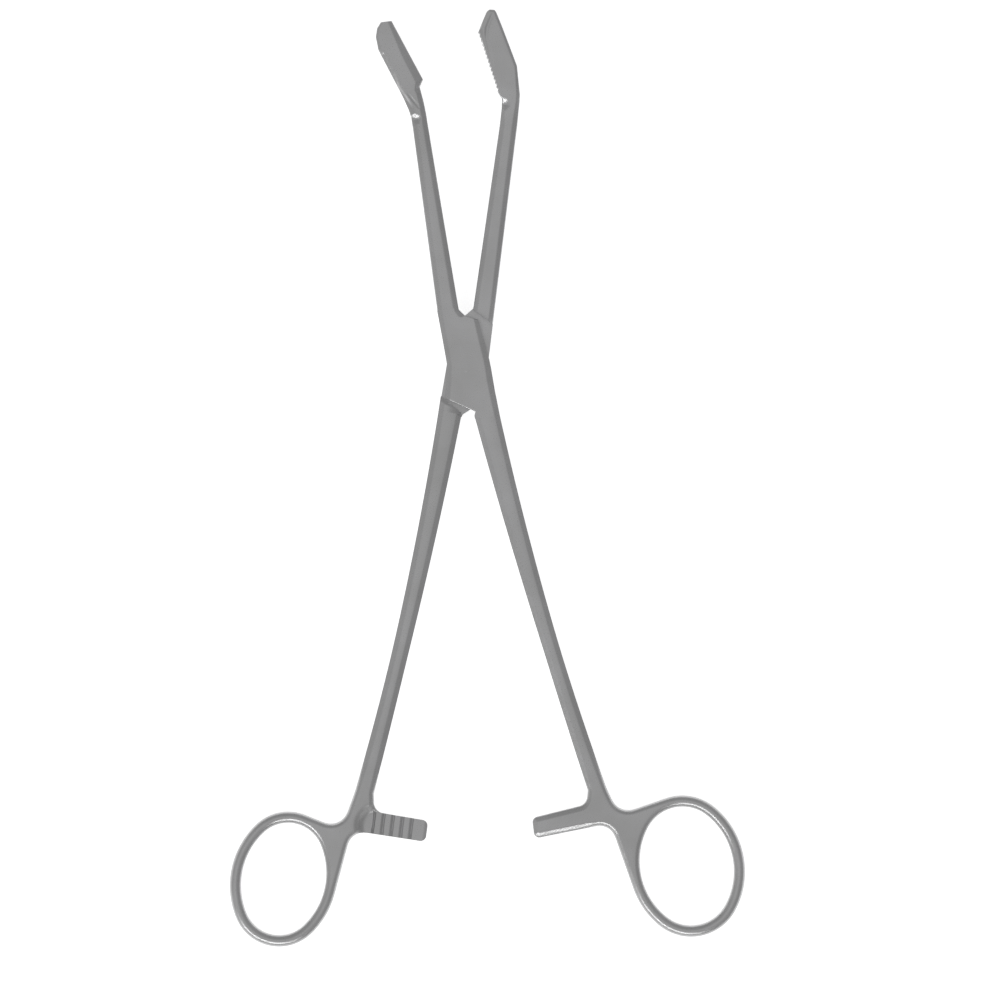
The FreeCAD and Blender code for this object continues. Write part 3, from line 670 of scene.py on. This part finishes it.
def inside(points, edge):
    """True for the points within a closed edge: an odd number of its sides pass to the right."""
    x, y = points[:, 0, None], points[:, 1, None]
    following = np.roll(edge, -1, axis=0)
    spans = (edge[:, 1] > y) != (following[:, 1] > y)
    rise = following[:, 1] - edge[:, 1]
    rise = np.where(np.abs(rise) < 1e-12, 1e-12, rise)
    crossing = edge[:, 0] + (y - edge[:, 1]) * (following[:, 0] - edge[:, 0]) / rise
    return (spans & (crossing > x)).sum(axis=1) % 2 == 1


def fill_points(rim, opening, bar_root, tip, ring_x):
    """Points inside the rim: close rows across the bar's teeth, a wider grid on web and ring."""
    across_teeth, along_teeth, web_step = 0.1, 0.45, 0.5
    bar_x = np.arange(tip + 1.8, bar_root + 0.5, across_teeth)
    bar_y = np.arange(bar_low, bar_top + 4, along_teeth)
    web_x = np.arange(bar_root + 0.7, ring_x, web_step)
    web_y = np.arange(-158, -118, web_step)
    grid = np.vstack([np.stack(np.meshgrid(x, y), -1).reshape(-1, 2)
                      for x, y in ((bar_x, bar_y), (web_x, web_y))])
    away = np.linalg.norm(grid[:, None] - np.vstack([rim, opening])[None], axis=2).min(axis=1)
    clear = away > 0.12 + 0.2 * (grid[:, 0] > bar_root + 0.6)
    return grid[inside(grid, rim) & ~inside(grid, opening) & clear]


def filling(flat, source, rim, opening):
    """Delaunay triangles of the middle of a handle, as numbers of the plan points that source
    lists: first the rim, then the opening, then the points between them."""
    count, around = len(rim), len(opening)
    sides = [(k, (k + 1) % count) for k in range(count)]
    sides += [(count + k, count + (k + 1) % around) for k in range(around)]
    points, _, fill, origin, _, _ = mathutils.geometry.delaunay_2d_cdt(
        [mathutils.Vector(p) for p in flat[source]], sides, [], 1, 1e-7)
    points = np.array([(p.x, p.y) for p in points])
    fill = np.array(fill)
    centres = points[fill].mean(axis=1)
    fill = fill[inside(centres, rim) & ~inside(centres, opening)]
    known = [first[0] if first else np.linalg.norm(flat[source] - p, axis=1).argmin()
             for first, p in zip(origin, points)]
    return source[np.array(known)][fill]


def ease(value, start, stop):
    """Goes smoothly from 0 at start to 1 at stop: three squares less two cubes of the share."""
    share = np.clip((value - start) / (stop - start), 0, 1)
    return share * share * (3 - 2 * share)


def plain_height(x, y, depth, bar_root):
    """Height above the middle plane: the forging's half thickness less its edge form.

    By the depth inwards from the outline, the edge is a straight bevel on the shank and a power
    curve on ring, web and bar, steepened over the last stretch and worn round at the very edge.
    """
    share = np.clip((-y - lower_start) / (foot_reach - lower_start), 0, 1)
    half = (tapered(np.sqrt(share), lock_half, foot_half)
            - web_thinner * ease(-y, foot_reach - 2, foot_reach + 4))
    on_bar = ease(bar_root + 2 - x, 0, 3)
    drop = tapered(on_bar, 1.0, 0.84)
    power = tapered(on_bar, 1.8, 1.15)
    polished = drop * np.clip(1 - depth / edge_width, 0, 1) ** power
    for worn, width in ((0.1, 0.7), (0.15, 0.12)):
        polished = polished + worn * np.clip(1 - depth / width, 0, 1) ** 2
    ground = plain_bevel[1] * knee(1 - depth / ground_width)
    as_ground = ease(y, -foot_reach - 2, -foot_reach + 14)
    return half - tapered(as_ground, polished, ground)


def milled_height(x, y, height, bar_root, tip, rise):
    """Height on the toothed side of the bar: lands and grooves, a sloped tip, and a round run-out
    where the cutter left the web, never above the plain height."""
    at = x - tip - first_tooth
    tooth = np.interp((at % bar_pitch) / bar_pitch, *tooth_form)
    tooth = np.where(at < 0, np.interp(at, *tip_form), tooth)
    past_teeth = ((at > groove_count * bar_pitch) | (x > bar_root + 0.15)
                  | (y > bar_top + 0.5 + rise))
    tooth = np.where(past_teeth, bar_land, tooth)
    run_out = np.hypot(np.maximum(x - bar_root + 1.0, 0), y - (bar_top + bar_low) / 2)
    tooth += (height - tooth) * ease(run_out, *run_out_radii)
    return np.minimum(height, tooth)


def handle(name, body, side, shank, ring, bar, cut_line):
    """One half below the lock, drawn to the right of the axis and mirrored where side is -1.

    Rows of points step inwards from the outline and from the ring's opening, triangles fill what
    they leave, and the same plan stands at the front's height and at the back's.  shank is the
    centre's distance from the axis, lean and width at the top; ring is the centre, width and
    height of its opening and the run of its flare; bar is the tip and the rise of its root.
    """
    tip, rise = bar
    path, hole, outward, bar_root, downhill = outline(shank, ring, bar, cut_line)
    inward, upward = inwards(path, (path[:, 0] < bar_root - 3) & (path[:, 0] > tip + 1.6))
    rows = path[None] + edge_steps[:, None, None] * inward[None]
    past_cut = np.clip((rows - path[0]) @ upward, 0, None)
    rows -= past_cut[..., None] / (downhill @ upward) * downhill
    hole, outward = hole[:-1:2], outward[:-1:2]
    rings = hole[None] + edge_steps[:, None, None] * outward[None]
    count, around = len(path), len(hole)
    grid = fill_points(rows[-1], rings[-1], bar_root, tip, ring[0])
    flat = np.vstack([rows.reshape(-1, 2), rings.reshape(-1, 2), grid])
    depth = np.concatenate([np.repeat(edge_steps, count), np.repeat(edge_steps, around),
                            np.full(len(grid), edge_width)])
    row = np.arange(len(edge_steps) * count).reshape(-1, count)
    hoop = row.size + np.arange(len(edge_steps) * around).reshape(-1, around)
    loose = hoop.max() + 1 + np.arange(len(grid))
    first_half = np.arange(count) < count // 2
    row = np.where((past_cut > 0) & first_half, row[:, :1], row)
    row = np.where((past_cut > 0) & ~first_half, row[:, -1:], row)
    source = np.concatenate([row[-1], hoop[-1], loose])
    strips = np.stack([row[:-1, :-1], row[:-1, 1:], row[1:, 1:], row[1:, :-1]], -1)
    hoops = np.stack([hoop[:-1], hoop[1:], np.roll(hoop[1:], -1, 1),
                      np.roll(hoop[:-1], -1, 1)], -1)
    top = [strips.reshape(-1, 4), hoops.reshape(-1, 4),
           filling(flat, source, rows[-1], rings[-1])]

    x, y = flat.T
    front = plain_height(x, y, depth, bar_root)
    back = milled_height(x, y, front, bar_root, tip, rise)
    if side < 0:
        to_cut = follow(flat, cut_line)[0]
        shoulder = shoulder_drop * np.clip(1 - to_cut / shoulder_width, 0, 1)
        front, back = back - shoulder, front - shoulder
    vertices = np.vstack([np.column_stack([side * x, y, middle + front]),
                          np.column_stack([side * x, y, middle - back])])
    size = len(flat)
    rim, edge = row[0], hoop[0]
    wall = np.stack([rim[:-1], rim[:-1] + size, rim[1:] + size, rim[1:]], -1)
    bore = np.stack([np.roll(edge, -1), np.roll(edge, -1) + size, edge + size, edge], -1)
    end = np.concatenate([row[:, -1], row[::-1, 0], row[:, 0] + size, row[::-1, -1] + size])
    faces = [face for group in top for face in group.tolist()]
    faces += [face for group in top for face in (group[:, ::-1] + size).tolist()]
    faces += wall.tolist() + bore.tolist() + [end.tolist()]
    faces = [list(dict.fromkeys(face[::side])) for face in faces]
    return solid(name, vertices, [face for face in faces if len(face) > 2], body,
                 box_turn if side > 0 else male_turn)


handle("box_finger_ring", "box_side", 1, (3.9, 6.8, 7.1), (44.6, -148.8, 26.4, 34.0, 3.7),
       (2.6, 1.9), np.array([(0.35, -14.4), (7.45, -14.4)]))
handle("male_finger_ring", "tongue_side", -1, (3.15, 3.1, 6.6), (33.9, -151.2, 23.8, 32.2, 2.4),
       (-4.8, 0.7), np.array([(-0.15, -13.75), (6.3, -9.6)]))

# Camera: it looks straight down with a long lens, as the photograph does, and has the jaws at
# the top.  Its picture is centred a little to the right of the pin and below it.
view_width = 0.284        # what the picture spans at the middle plane, in metres
view_height = 2.0
view_centre = (0.00937, -0.0383)
camera_data = bpy.data.cameras.new("camera")
camera_data.sensor_width = 36
camera_data.lens = camera_data.sensor_width * view_height / view_width
camera_data.clip_end = 20
camera = bpy.data.objects.new("camera", camera_data)
camera.location = (*view_centre, middle / 1000 + view_height)
bpy.context.scene.collection.objects.link(camera)
bpy.context.scene.camera = camera
bpy.context.scene.view_settings.view_transform = "Standard"

# Table: a matt white board.  Its lift makes it white to the camera and in reflections alone, so
# that it keeps the object's shadow and throws no more light on it than a white board does.
floor_reach = 3.0         # from its middle to each side, in metres
floor_mesh = bpy.data.meshes.new("floor")
floor_mesh.from_pydata([(x * floor_reach, y * floor_reach, 0)
                        for x, y in ((-1, -1), (1, -1), (1, 1), (-1, 1))], [], [(0, 1, 2, 3)])
floor = bpy.data.objects.new("floor", floor_mesh)
bpy.context.scene.collection.objects.link(floor)
white = bpy.data.materials.new("white_table")
white.use_nodes = True
tree = white.node_tree
tree.nodes.clear()
ray = add_node(tree, "ShaderNodeLightPath")
seen = add_node(tree, "ShaderNodeMath", {
    0: ray.outputs["Is Camera Ray"], 1: ray.outputs["Is Glossy Ray"]}, operation="MAXIMUM")
seen = add_node(tree, "ShaderNodeMath", {
    0: seen.outputs["Value"], 1: ray.outputs["Is Transmission Ray"]}, operation="MAXIMUM")
lift = add_node(tree, "ShaderNodeMath", {0: seen.outputs["Value"], 1: 0.72}, operation="MULTIPLY")
glow = add_node(tree, "ShaderNodeEmission", {
    "Color": (1, 1, 1, 1), "Strength": lift.outputs["Value"]})
matt = add_node(tree, "ShaderNodeBsdfDiffuse", {"Color": linear("f2f2f2")})
total = add_node(tree, "ShaderNodeAddShader", {
    0: glow.outputs["Emission"], 1: matt.outputs["BSDF"]})
add_node(tree, "ShaderNodeOutputMaterial", {"Surface": total.outputs["Shader"]})
floor_mesh.materials.append(white)


# Light: a low strip in front draws the narrow highlights, a broad panel fills from above, and the
# room is darker to the right and low down in front and behind, to shade the bevels facing there.
def softbox(name, place, height, width, power):
    """Upright lamp of a height and width at a place in metres, which faces the instrument."""
    aim = (0, -0.04, 0)
    data = bpy.data.lights.new(name, "AREA")
    data.shape = "RECTANGLE"
    data.size = height
    data.size_y = width
    data.energy = power
    lamp = bpy.data.objects.new(name, data)
    lamp.location = place
    toward = np.subtract(aim, place)
    yaw = math.atan2(toward[1], toward[0])
    pitch = math.atan2(math.hypot(toward[0], toward[1]), -toward[2])
    lamp.rotation_euler = (0, -pitch, yaw)
    bpy.context.scene.collection.objects.link(lamp)


softbox("key", (-0.39, -1.11, 0.75), 0.22, 1.6, 4.7)
softbox("overhead", (-0.3, 0.2, 1.8), 1.8, 1.8, 0.8)
world = bpy.data.worlds.new("studio")
bpy.context.scene.world = world
world.use_nodes = True
tree = world.node_tree
background = tree.nodes["Background"]
background.inputs["Color"].default_value = (1, 1, 1, 1)
direction = add_node(tree, "ShaderNodeTexCoord").outputs["Generated"]
facing = add_node(tree, "ShaderNodeSeparateXYZ", {"Vector": direction})
ahead = add_node(tree, "ShaderNodeMath", {0: facing.outputs["Y"]}, operation="ABSOLUTE")
dark_side = add_node(tree, "ShaderNodeMath", {
    0: facing.outputs["X"], 1: ahead.outputs["Value"]}, operation="MAXIMUM")
shade = add_node(tree, "ShaderNodeMapRange", {
    "Value": dark_side.outputs["Value"], "From Min": 0.3, "From Max": 0.85,
    "To Min": 0.47, "To Max": 0.35})
tree.links.new(shade.outputs["Result"], background.inputs["Strength"])
